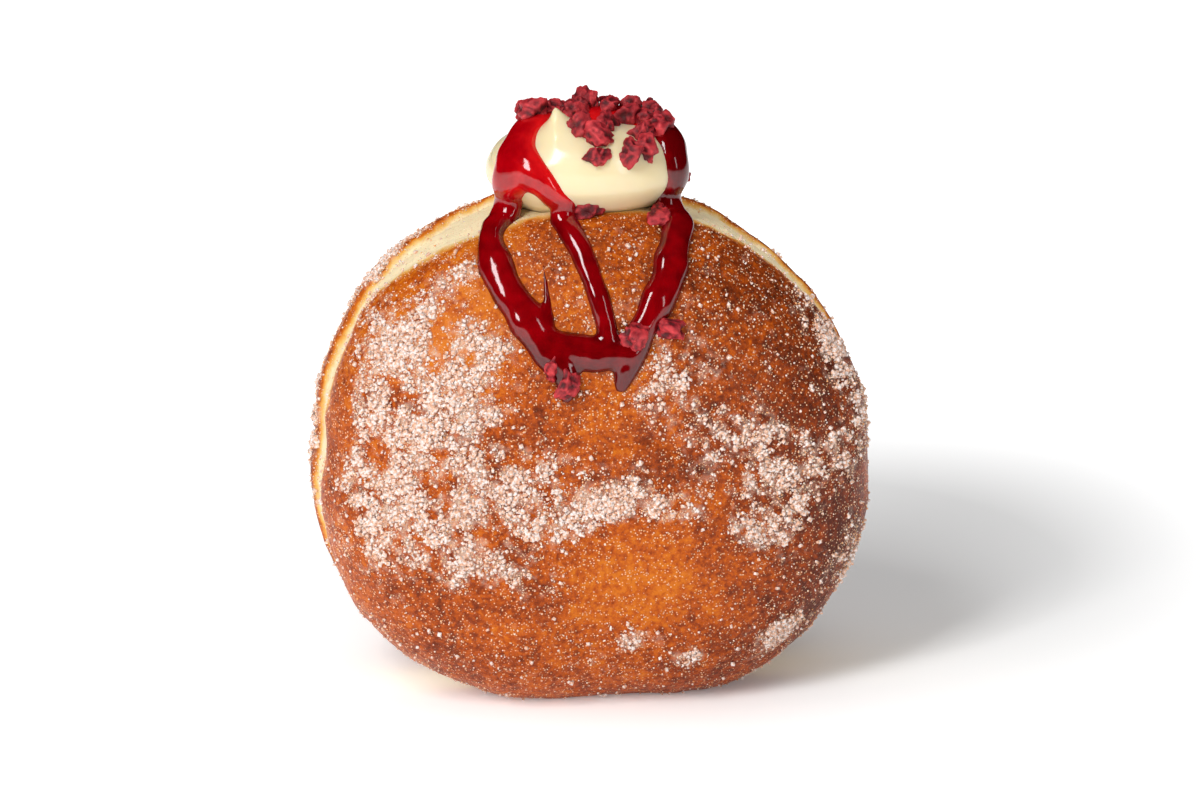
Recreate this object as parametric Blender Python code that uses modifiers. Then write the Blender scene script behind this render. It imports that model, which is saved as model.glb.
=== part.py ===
"""Jelly filled doughnut that stands on its edge: sugared dough, custard piped out of its top, jelly running down.

Metres, +Z up. The front face looks along -Y. The origin is the middle of the flat patch that the dough rests on.
"""

import math

import bmesh
import bpy
from mathutils import Vector
from mathutils.bvhtree import BVHTree
from mathutils.geometry import interpolate_bezier

MM = 0.001

# Dough: a cushion shape, round seen from the front, that sags a little over the flat patch it stands on.
CENTRE_X = -0.12 * MM
HALF_WIDTH = 45.3 * MM
HALF_THICKNESS = 25.0 * MM
CENTRE_Z = 39.6 * MM
REACH_UP = 42.6 * MM
REACH_DOWN = 41.0 * MM
OUTLINE_POWER_UP = 2.0
OUTLINE_POWER_DOWN = 2.4
SECTION_POWER_UP = 2.4
SECTION_POWER_DOWN = 3.2
DOUGH_SEGMENTS = 48
DOUGH_RINGS = 26

# Slow bulges and flats of the outline: (angle up from +X, degrees; half spread, degrees; share of the radius).
OUTLINE_BULGES = (
    (42.0, 24.0, -0.026),
    (138.0, 18.0, 0.014),
    (165.0, 12.0, -0.008),
    (-132.0, 20.0, 0.012),
    (-48.0, 24.0, 0.026),
    (-8.0, 16.0, 0.006),
)

# The pale waist round the rim, where the two fried halves meet.
WAIST_DEPTH = 1.1 * MM
WAIST_HALF_WIDTH = 3.4 * MM

# Clear gap between pieces that touch.
GAP = 0.3 * MM

# Custard: (height, half width along X, half width along Y) from the foot of the filling to the top of the dollop.
CUSTARD_PROFILE = (
    (24.0, 0.0, 0.0),
    (27.0, 11.0, 6.0),
    (37.0, 19.0, 10.0),
    (50.0, 19.5, 10.5),
    (62.0, 14.0, 8.5),
    (71.0, 10.0, 7.0),
    (77.5, 10.5, 7.5),
    (80.5, 13.4, 10.8),
    (83.5, 15.2, 13.0),
    (87.5, 14.8, 12.8),
    (90.4, 12.8, 11.2),
    (92.2, 9.2, 8.0),
    (93.0, 0.0, 0.0),
)
CUSTARD_SEGMENTS = 28
CUSTARD_ROWS = 3
DOLLOP_WAIST_Z = 84.5 * MM
PEAK_AT = Vector((-6.0, -5.5, 0.0)) * MM
PEAK_HEIGHT = 4.0 * MM
PEAK_SPREAD = 2.8 * MM

# Jelly: streams that run down from the dollop. Each point is (x, y, z, half width) near the skin that it lies on.
JELLY_STREAMS = (
    (
        (8.0, 3.0, 92.5, 3.6),
        (1.0, 3.5, 93.0, 4.2),
        (-6.0, 2.0, 92.8, 3.8),
        (-10.4, -2.6, 91.4, 3.2),
        (-12.0, -5.4, 89.0, 3.6),
        (-12.4, -6.8, 86.0, 3.6),
        (-13.8, -5.4, 82.2, 2.6),
        (-15.6, -7.0, 78.8, 2.4),
        (-17.1, -11.0, 76.3, 2.3),
        (-16.8, -15.0, 73.3, 2.4),
        (-15.5, -18.0, 69.9, 2.6),
        (-13.4, -20.0, 66.8, 2.6),
        (-11.1, -21.5, 63.6, 2.8),
        (-8.9, -22.6, 60.6, 3.0),
        (-6.9, -23.5, 57.5, 2.5),
        (-6.7, -23.9, 54.7, 1.6),
        (-6.9, -24.2, 52.7, 0.9),
    ),
    (
        (-11.4, -7.4, 87.0, 3.4),
        (-8.7, -10.5, 84.6, 2.5),
        (-6.6, -10.8, 81.6, 2.3),
        (-5.2, -12.0, 78.6, 2.3),
        (-3.6, -15.8, 75.3, 2.3),
        (-2.2, -18.5, 71.6, 2.1),
        (-1.1, -20.4, 68.1, 1.9),
        (-0.3, -21.8, 64.4, 1.8),
        (0.0, -22.9, 60.7, 2.0),
    ),
    (
        (3.0, 3.5, 93.0, 4.2),
        (9.4, 1.2, 92.2, 3.4),
        (12.4, -2.4, 90.0, 2.8),
        (12.6, -5.4, 86.8, 2.2),
        (12.8, -6.2, 82.8, 2.2),
        (13.4, -7.4, 79.0, 2.5),
        (12.5, -12.1, 76.8, 2.7),
        (11.1, -15.9, 73.7, 2.8),
        (9.8, -18.5, 70.4, 2.7),
        (7.9, -20.3, 67.2, 2.7),
        (5.8, -21.7, 64.1, 2.4),
        (4.1, -22.7, 61.2, 2.4),
        (2.9, -23.4, 58.3, 2.1),
        (1.9, -24.0, 55.4, 1.2),
        (1.7, -24.2, 54.0, 0.9),
    ),
    (
        (-8.9, -22.4, 61.6, 2.9),
        (-4.5, -22.9, 60.5, 2.8),
        (-1.4, -23.1, 59.9, 2.8),
        (3.6, -23.0, 60.0, 2.7),
    ),
)
JELLY_THICKNESS = 2.1 * MM
JELLY_SINK = 0.35
JELLY_VOXEL = 0.8 * MM
JELLY_KEEP = 0.42

CRUST_COLOUR = (0.62, 0.20, 0.03)
CUSTARD_COLOUR = (0.93, 0.78, 0.45)
JELLY_COLOUR = (0.35, 0.01, 0.01)


def material(name, colour, roughness):
    """A Principled material of one colour."""
    made = bpy.data.materials.new(name)
    made.use_nodes = True
    shader = made.node_tree.nodes["Principled BSDF"]
    shader.inputs["Base Color"].default_value = (*colour, 1.0)
    shader.inputs["Roughness"].default_value = roughness
    shader.inputs["Metallic"].default_value = 0.0
    made.diffuse_color = (*colour, 1.0)
    return made


def new_collection(name):
    made = bpy.data.collections.new(name)
    bpy.context.scene.collection.children.link(made)
    return made


def add_object(name, shape, collection):
    """Turns a bmesh into a smooth-shaded object of the collection."""
    mesh = bpy.data.meshes.new(name)
    shape.to_mesh(mesh)
    shape.free()
    mesh.shade_smooth()
    made = bpy.data.objects.new(name, mesh)
    collection.objects.link(made)
    return made


def as_cutter(cutter):
    cutter.hide_render = True
    cutter.display_type = "WIRE"
    return cutter


def bell(offset, spread):
    return math.exp(-((offset / spread) ** 2))


def outline_radius(around):
    """Distance from the middle of the front outline to its edge, at an angle up from +X."""
    up = math.sin(around) > 0.0
    power = OUTLINE_POWER_UP if up else OUTLINE_POWER_DOWN
    share_x = abs(math.cos(around)) / HALF_WIDTH
    share_z = abs(math.sin(around)) / (REACH_UP if up else REACH_DOWN)
    radius = (share_x**power + share_z**power) ** (-1.0 / power)
    degrees = math.degrees(around)
    for at, spread, share in OUTLINE_BULGES:
        aside = (degrees - at + 180.0) % 360.0 - 180.0
        radius *= 1.0 + share * bell(aside, spread)
    return radius


def dough_point(direction):
    """Where the dough's surface lies for a direction from its middle, a unit vector with the front pole at -Y."""
    across, deep, up = direction
    around = math.atan2(up, across)
    low = 0.5 - 0.5 * math.sin(around)
    power = SECTION_POWER_UP + (SECTION_POWER_DOWN - SECTION_POWER_UP) * low
    rim_share = math.hypot(across, up) ** (2.0 / power)
    y = math.copysign(HALF_THICKNESS * abs(deep) ** (2.0 / power), deep)
    groove = WAIST_DEPTH * bell(y, WAIST_HALF_WIDTH) * min(1.0, 4.0 * (1.0 - low))
    radius = outline_radius(around) * rim_share - groove
    return Vector((CENTRE_X + radius * math.cos(around), y, CENTRE_Z + radius * math.sin(around)))


def closed_loft(tip, rings, tail):
    """A closed bmesh of quads between neighbouring rings of points, with a fan to a single point at each end.

    Seen from the tip, the points of a ring run anticlockwise, which turns the faces outwards.
    """
    shape = bmesh.new()
    rows = [[shape.verts.new(point) for point in ring] for ring in rings]
    first = shape.verts.new(tip)
    last = shape.verts.new(tail)
    count = len(rows[0])
    for i in range(count):
        after = (i + 1) % count
        shape.faces.new((first, rows[0][i], rows[0][after]))
        shape.faces.new((last, rows[-1][after], rows[-1][i]))
        for above, below in zip(rows, rows[1:]):
            shape.faces.new((above[i], below[i], below[after], above[after]))
    return shape


def swollen(shape, swell):
    """Moves the shape's surface outwards by swell."""
    shape.normal_update()
    moves = [vert.normal * swell for vert in shape.verts]
    for vert, move in zip(shape.verts, moves):
        vert.co += move
    return shape


def dough_shape(swell):
    """The dough's outside as a closed bmesh, moved outwards by swell, with a flat patch to stand on."""
    rings = []
    for i in range(1, DOUGH_RINGS):
        tilt = math.pi * i / DOUGH_RINGS
        turns = [math.tau * k / DOUGH_SEGMENTS for k in range(DOUGH_SEGMENTS)]
        across = math.sin(tilt)
        rings.append([dough_point((across * math.cos(t), -math.cos(tilt), across * math.sin(t))) for t in turns])
    shape = swollen(closed_loft(dough_point((0.0, -1.0, 0.0)), rings, dough_point((0.0, 1.0, 0.0))), swell)
    geometry = shape.verts[:] + shape.edges[:] + shape.faces[:]
    cut = bmesh.ops.bisect_plane(
        shape, geom=geometry, plane_co=(0, 0, -swell), plane_no=(0, 0, -1), clear_outer=True
    )
    rim = [piece for piece in cut["geom_cut"] if isinstance(piece, bmesh.types.BMEdge)]
    bmesh.ops.edgeloop_fill(shape, edges=rim)
    return shape


def custard_rows():
    """The custard's profile as closely spaced (height, half X, half Y) rows on one smooth curve, foot to top."""
    points = [Vector(point) * MM for point in CUSTARD_PROFILE]
    across_axis = Vector((1.0, -1.0, -1.0))
    points = [points[1] * across_axis, *points, points[-2] * across_axis]
    rows = []
    for before, start, end, after in zip(points, points[1:], points[2:], points[3:]):
        leaving = start + (end - before) / 6.0
        arriving = end - (after - start) / 6.0
        rows += interpolate_bezier(start, leaving, arriving, end, CUSTARD_ROWS + 1)[:-1]
    return rows[1:]


def custard_shape(swell):
    """The filling and the dollop as one closed bmesh, moved outwards by swell."""
    foot = Vector((0.0, 0.0, CUSTARD_PROFILE[0][0])) * MM
    top = Vector((0.0, 0.0, CUSTARD_PROFILE[-1][0])) * MM
    rings = []
    for height, reach_x, reach_y in reversed(custard_rows()):
        turns = [math.tau * k / CUSTARD_SEGMENTS for k in range(CUSTARD_SEGMENTS)]
        ring = [Vector((reach_x * math.cos(t), reach_y * math.sin(t), height)) for t in turns]
        for point in ring:
            if point.z > DOLLOP_WAIST_Z:
                aside = (point.xy - PEAK_AT.xy).length
                point.z += PEAK_HEIGHT * bell(aside, PEAK_SPREAD)
        rings.append(ring)
    return swollen(closed_loft(top, rings, foot), swell)


class Skin:
    """The outside of dough and custard together, on which the jelly lies."""

    def __init__(self, *shapes):
        self.trees = [BVHTree.FromBMesh(shape) for shape in shapes]

    def nearest(self, point):
        """The closest point of the skin and the way out of it there."""
        found = [tree.find_nearest(point) for tree in self.trees]
        spot, normal, _, _ = min(found, key=lambda hit: hit[3])
        return spot, normal

    def is_outside(self, point):
        found = [tree.find_nearest(point) for tree in self.trees]
        return all((point - spot).dot(normal) > 0.0 for spot, normal, _, _ in found)


def stream_tube(stream, skin, collection):
    """One jelly stream as a tube half sunk into the skin."""
    curve = bpy.data.curves.new("stream", "CURVE")
    curve.dimensions = "3D"
    curve.bevel_depth = 1.0
    curve.bevel_resolution = 3
    curve.use_fill_caps = True
    spline = curve.splines.new("POLY")
    spline.points.add(len(stream) - 1)
    for spot, (x, y, z, half_width) in zip(spline.points, stream):
        radius = half_width * MM
        on_skin, outwards = skin.nearest(Vector((x, y, z)) * MM)
        spot.co = (*(on_skin - outwards * JELLY_SINK * radius), 1.0)
        spot.radius = radius * math.sqrt(1.0 + JELLY_SINK**2)
    made = bpy.data.objects.new("stream", curve)
    collection.objects.link(made)
    return made


def evaluated_shape(source):
    """The object as its modifiers leave it, as a bmesh. The object is removed."""
    bpy.context.view_layer.update()
    graph = bpy.context.evaluated_depsgraph_get()
    mesh = bpy.data.meshes.new_from_object(source.evaluated_get(graph))
    shape = bmesh.new()
    shape.from_mesh(mesh)
    bpy.data.meshes.remove(mesh)
    bpy.data.objects.remove(source)
    return shape


def jelly_shape(skin, collection):
    """All the streams run together as one soft-edged body that reaches a little below the skin."""
    together = bmesh.new()
    for stream in JELLY_STREAMS:
        tube = evaluated_shape(stream_tube(stream, skin, collection))
        mesh = bpy.data.meshes.new("tube")
        tube.to_mesh(mesh)
        tube.free()
        together.from_mesh(mesh)
        bpy.data.meshes.remove(mesh)
    lump = add_object("lump", together, collection)
    remesh = lump.modifiers.new("run together", "REMESH")
    remesh.mode = "VOXEL"
    remesh.voxel_size = JELLY_VOXEL
    soften = lump.modifiers.new("soften", "SMOOTH")
    soften.factor = 0.5
    soften.iterations = 4
    thin = lump.modifiers.new("fewer faces", "DECIMATE")
    thin.ratio = JELLY_KEEP
    shape = evaluated_shape(lump)
    for vert in shape.verts:
        if skin.is_outside(vert.co):
            on_skin, _ = skin.nearest(vert.co)
            outwards = vert.co - on_skin
            height = JELLY_THICKNESS * math.tanh(outwards.length / JELLY_THICKNESS)
            vert.co = on_skin + outwards.normalized() * height
    return shape


def cut_by(target, cutter):
    cut = target.modifiers.new("clear of " + cutter.name, "BOOLEAN")
    cut.operation = "DIFFERENCE"
    cut.object = cutter


def main():
    for old in list(bpy.data.objects):
        bpy.data.objects.remove(old)
    parts = new_collection("jelly_filled_doughnut")
    cutters = new_collection("cutters")

    custard_cutter = as_cutter(add_object("custard_cutter", custard_shape(GAP), cutters))
    dough = add_object("dough", dough_shape(0.0), parts)
    dough.data.materials.append(material("crust", CRUST_COLOUR, 0.55))
    cut_by(dough, custard_cutter)

    custard = add_object("custard", custard_shape(0.0), parts)
    custard.data.materials.append(material("custard", CUSTARD_COLOUR, 0.35))

    skin = Skin(dough_shape(0.0), custard_shape(0.0))
    dough_cutter = as_cutter(add_object("dough_cutter", dough_shape(GAP), cutters))
    jelly = add_object("jelly", jelly_shape(skin, cutters), parts)
    jelly.data.materials.append(material("jelly", JELLY_COLOUR, 0.08))
    cut_by(jelly, dough_cutter)
    cut_by(jelly, custard_cutter)


main()
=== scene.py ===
"""Looks of a jelly filled doughnut: sugared crust, piped custard, runs of jelly and dried-berry crumbs.

Metres, +Z up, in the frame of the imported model. The front face looks along -Y.
"""

import logging
import math
from dataclasses import dataclass
from enum import Enum

import bmesh
import bpy
import numpy as np
from mathutils import Matrix, Vector, noise
from mathutils.bvhtree import BVHTree


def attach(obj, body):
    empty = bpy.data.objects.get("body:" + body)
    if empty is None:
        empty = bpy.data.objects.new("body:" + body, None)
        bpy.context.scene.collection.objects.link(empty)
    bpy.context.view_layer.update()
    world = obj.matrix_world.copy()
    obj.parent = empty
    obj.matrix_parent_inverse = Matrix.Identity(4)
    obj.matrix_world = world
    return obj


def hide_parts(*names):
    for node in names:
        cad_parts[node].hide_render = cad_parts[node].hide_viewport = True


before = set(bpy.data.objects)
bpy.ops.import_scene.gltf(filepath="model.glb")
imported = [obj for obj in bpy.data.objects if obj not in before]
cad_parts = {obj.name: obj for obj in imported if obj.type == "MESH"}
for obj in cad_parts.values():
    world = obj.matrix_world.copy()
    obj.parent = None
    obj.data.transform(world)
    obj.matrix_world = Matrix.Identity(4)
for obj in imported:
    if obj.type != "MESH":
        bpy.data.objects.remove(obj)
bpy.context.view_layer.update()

MM = 0.001
LOG = logging.getLogger("doughnut")
Colour = tuple[float, float, float]
Route = tuple[tuple[float, float, float, float], ...]


# ---------------------------------------------------------------- shared helpers


def smooth_share(value: np.ndarray | float, low: float, high: float) -> np.ndarray:
    """Rises smoothly from 0 at low to 1 at high.

    Args:
        value: The value or values to judge.
        low: Where the rise starts.
        high: Where it ends.

    Returns:
        The share, between 0 and 1.
    """
    share = np.clip((np.asarray(value) - low) / (high - low), 0.0, 1.0)
    return share * share * (3.0 - 2.0 * share)


def bell(offset: np.ndarray | float, spread: float) -> np.ndarray:
    """A bell curve of height 1 that falls to about a third at the spread.

    Args:
        offset: How far from its middle.
        spread: Its half width.

    Returns:
        The height, between 0 and 1.
    """
    return np.exp(-((np.asarray(offset) / spread) ** 2))


def ripple(points: np.ndarray, size: float, seed: float, octaves: int = 1) -> np.ndarray:
    """Smooth noise at each point.

    Args:
        points: Places in metres, one row each.
        size: Distance over which the noise changes, in metres.
        seed: Offset that makes one pattern unlike another.
        octaves: Layers of finer noise added on top.

    Returns:
        One value per point, about -1 to 1.
    """
    shift = Vector((seed, seed * 1.7, -seed))
    places = points / size
    if octaves == 1:
        values = [noise.noise(Vector(place) + shift) for place in places]
    else:
        values = [noise.fractal(Vector(place) + shift, 1.0, 2.0, octaves) for place in places]
    return np.array(values)


def mesh_points(mesh: bpy.types.Mesh) -> np.ndarray:
    """The mesh's vertex places, one row each.

    Args:
        mesh: The mesh to read.

    Returns:
        The places, in metres.
    """
    flat = np.empty(len(mesh.vertices) * 3, dtype=np.float32)
    mesh.vertices.foreach_get("co", flat)
    return flat.reshape(-1, 3).astype(float)


def set_mesh_points(mesh: bpy.types.Mesh, points: np.ndarray) -> None:
    """Moves the mesh's vertices to the given places.

    Args:
        mesh: The mesh to change.
        points: The places, one row for each vertex.
    """
    mesh.vertices.foreach_set("co", points.astype(np.float32).ravel())
    mesh.update()


def mesh_normals(mesh: bpy.types.Mesh) -> np.ndarray:
    """The mesh's vertex normals, one row each.

    Args:
        mesh: The mesh to read.

    Returns:
        The unit vectors.
    """
    flat = np.empty(len(mesh.vertices) * 3, dtype=np.float32)
    mesh.vertex_normals.foreach_get("vector", flat)
    return flat.reshape(-1, 3).astype(float)


def set_attribute(mesh: bpy.types.Mesh, name: str, values: np.ndarray) -> None:
    """Stores one number per vertex for a material to read.

    Args:
        mesh: The mesh that keeps the numbers.
        name: The attribute's name.
        values: One number per vertex.
    """
    layer = mesh.attributes.get(name) or mesh.attributes.new(name, "FLOAT", "POINT")
    layer.data.foreach_set("value", np.ascontiguousarray(values, dtype=np.float32))


def object_from(name: str, shape: bmesh.types.BMesh) -> bpy.types.Object:
    """Turns a bmesh into a smooth-shaded object with its faces pointing outwards.

    Args:
        name: Name of the object and its mesh.
        shape: The bmesh, which is freed.

    Returns:
        The new object, at the origin.
    """
    if shape.calc_volume(signed=True) < 0.0:
        bmesh.ops.reverse_faces(shape, faces=shape.faces)
    mesh = bpy.data.meshes.new(name)
    shape.to_mesh(mesh)
    shape.free()
    mesh.shade_smooth()
    made = bpy.data.objects.new(name, mesh)
    bpy.context.scene.collection.objects.link(made)
    return made


def bake_modifiers(piece: bpy.types.Object) -> None:
    """Replaces the piece's mesh by what its modifiers make of it.

    Args:
        piece: The object, which keeps no modifiers.
    """
    bpy.context.view_layer.update()
    graph = bpy.context.evaluated_depsgraph_get()
    mesh = bpy.data.meshes.new_from_object(piece.evaluated_get(graph))
    piece.modifiers.clear()
    old = piece.data
    piece.data = mesh
    bpy.data.meshes.remove(old)
    mesh.name = piece.name
    mesh.shade_smooth()


def tree_of(piece: bpy.types.Object) -> BVHTree:
    """A search tree of the piece's faces.

    Args:
        piece: An object at the origin.

    Returns:
        The tree.
    """
    shape = bmesh.new()
    shape.from_mesh(piece.data)
    tree = BVHTree.FromBMesh(shape)
    shape.free()
    return tree


def smooth_path(knots: np.ndarray, steps: int) -> np.ndarray:
    """A smooth curve through the knots.

    Args:
        knots: The rows of numbers that the curve passes through.
        steps: Pieces between one knot and the next.

    Returns:
        The rows along the curve, first and last knot included.
    """
    padded = np.vstack([2.0 * knots[0] - knots[1], knots, 2.0 * knots[-1] - knots[-2]])
    rows = []
    for before, start, end, after in zip(padded, padded[1:], padded[2:], padded[3:]):
        for t in np.arange(steps) / steps:
            lean = (end - before) * t * (1.0 - t) ** 2 / 2.0 - (after - start) * t * t * (1.0 - t) / 2.0
            rows.append(start + (end - start) * t * t * (3.0 - 2.0 * t) + lean)
    return np.array([*rows, knots[-1]])


class Skin:
    """The outside of several pieces together, on which others lie."""

    def __init__(self, *pieces: bpy.types.Object) -> None:
        """Makes one search tree for each piece."""
        self.trees = [tree_of(piece) for piece in pieces]

    def nearest(self, point: Vector) -> tuple[Vector, Vector, float]:
        """Finds the closest face of any piece.

        Args:
            point: Any place.

        Returns:
            The face's closest spot, the way out of it, and the point's height over it.
        """
        found = [tree.find_nearest(point) for tree in self.trees]
        spot, normal, _, _ = min(found, key=lambda near: near[3])
        return spot, normal, (point - spot).dot(normal)

    def height(self, point: Vector) -> tuple[Vector, Vector, float]:
        """Finds the skin next to a point.

        Args:
            point: Any place.

        Returns:
            The skin's closest place, the way out of it there, and the point's height over the skin.
        """
        found = [tree.find_nearest(point) for tree in self.trees]
        heights = []
        for spot, normal, _, distance in found:
            heights.append(math.copysign(distance, (point - spot).dot(normal)))
        outer = [height for height in heights if height > 0.0]
        at = heights.index(min(outer) if len(outer) == len(heights) else min(heights))
        return found[at][0], found[at][1], heights[at]


class NodeSheet:
    """A material's nodes, with short calls for those that the finishes share."""

    def __init__(self, name: str) -> None:
        """Starts a material that holds one Principled shader."""
        self.material = bpy.data.materials.new(name)
        self.material.use_nodes = True
        self.tree = self.material.node_tree
        self.shader = self.tree.nodes["Principled BSDF"]
        self.place = self.tree.nodes.new("ShaderNodeTexCoord").outputs["Object"]

    def put(self, socket: str, value: object) -> None:
        """Sets a shader input to a plain value, or links it to another node's output."""
        self._feed(self.shader, socket, value)

    def _feed(self, node: bpy.types.Node, socket: int | str, value: object) -> None:
        """Links or sets one input of a node.

        Args:
            node: The node.
            socket: Its input, by name or number.
            value: An output to link, or a plain number, vector or colour.
        """
        target = node.inputs[socket]
        if isinstance(value, bpy.types.NodeSocket):
            self.tree.links.new(value, target)
        elif isinstance(value, tuple) and target.type == "RGBA":
            target.default_value = (*value, 1.0)
        else:
            target.default_value = value

    def attribute(self, name: str) -> bpy.types.NodeSocket:
        """The number that a vertex attribute holds.

        Args:
            name: The attribute's name.

        Returns:
            Its output.
        """
        node = self.tree.nodes.new("ShaderNodeAttribute")
        node.attribute_name = name
        return node.outputs["Fac"]

    def noise(self, size: float, detail: float = 2.0, rough: float = 0.5) -> bpy.types.NodeSocket:
        """Noise that changes over the given size in metres, about 0 to 1.

        Args:
            size: Distance over which it changes, in metres.
            detail: Layers of finer noise.
            rough: How strong the finer layers are.

        Returns:
            The noise, about 0 to 1.
        """
        node = self.tree.nodes.new("ShaderNodeTexNoise")
        self._feed(node, "Vector", self.place)
        self._feed(node, "Scale", 1.0 / size)
        self._feed(node, "Detail", detail)
        self._feed(node, "Roughness", rough)
        return node.outputs["Fac"]

    def cells(self, size: float, output: str = "Distance") -> bpy.types.NodeSocket:
        """Voronoi cells of the given size in metres.

        Args:
            size: Width of a cell.
            output: What to read: distance to a cell's middle, or its colour.

        Returns:
            That output.
        """
        node = self.tree.nodes.new("ShaderNodeTexVoronoi")
        self._feed(node, "Vector", self.place)
        self._feed(node, "Scale", 1.0 / size)
        return node.outputs[output]

    def maths(self, operation: str, *values: object) -> bpy.types.NodeSocket:
        """One arithmetic step on sockets or plain numbers.

        Args:
            operation: The step's name.
            values: What it works on.

        Returns:
            The result.
        """
        node = self.tree.nodes.new("ShaderNodeMath")
        node.operation = operation
        for i, value in enumerate(values):
            self._feed(node, i, value)
        return node.outputs[0]

    def stretch(
        self, value: object, low: object, high: object, start: object = 0.0, end: object = 1.0
    ) -> bpy.types.NodeSocket:
        """Maps one range of numbers to another, clamped at both ends.

        Args:
            value: The number to map.
            low: Where its range starts.
            high: Where its range ends.
            start: What low becomes.
            end: What high becomes.

        Returns:
            The mapped number.
        """
        node = self.tree.nodes.new("ShaderNodeMapRange")
        settings = {"Value": value, "From Min": low, "From Max": high, "To Min": start, "To Max": end}
        for socket, setting in settings.items():
            self._feed(node, socket, setting)
        return node.outputs["Result"]

    def blend(self, share: object, first: object, second: object) -> bpy.types.NodeSocket:
        """Mixes two colours.

        Args:
            share: How much of the second, 0 to 1.
            first: One colour.
            second: The other colour.

        Returns:
            The mixed colour.
        """
        node = self.tree.nodes.new("ShaderNodeMix")
        node.data_type = "RGBA"
        self._feed(node, 0, share)
        self._feed(node, 6, first)
        self._feed(node, 7, second)
        return node.outputs[2]

    def ramp(self, value: object, *stops: tuple[float, Colour]) -> bpy.types.NodeSocket:
        """Turns a number into a colour that passes through the stops.

        Args:
            value: The number.
            stops: Places from 0 to 1, each with its colour.

        Returns:
            The colour.
        """
        node = self.tree.nodes.new("ShaderNodeValToRGB")
        self._feed(node, "Fac", value)
        elements = node.color_ramp.elements
        while len(elements) < len(stops):
            elements.new(0.5)
        for element, (at, colour) in zip(elements, stops):
            element.position = at
            element.color = (*colour, 1.0)
        return node.outputs["Color"]

    def bump(
        self, height: object, depth: float, strength: float, under: object = None
    ) -> bpy.types.NodeSocket:
        """Tilts the surface by a height pattern.

        Args:
            height: The pattern, 0 to 1.
            depth: What 1 in the pattern is worth, in metres.
            strength: Share of the effect.
            under: Another bump that this one adds to.

        Returns:
            The normal.
        """
        node = self.tree.nodes.new("ShaderNodeBump")
        self._feed(node, "Height", height)
        self._feed(node, "Distance", depth)
        self._feed(node, "Strength", strength)
        if under is not None:
            self._feed(node, "Normal", under)
        return node.outputs["Normal"]


# ---------------------------------------------------------------- finishes


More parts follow.
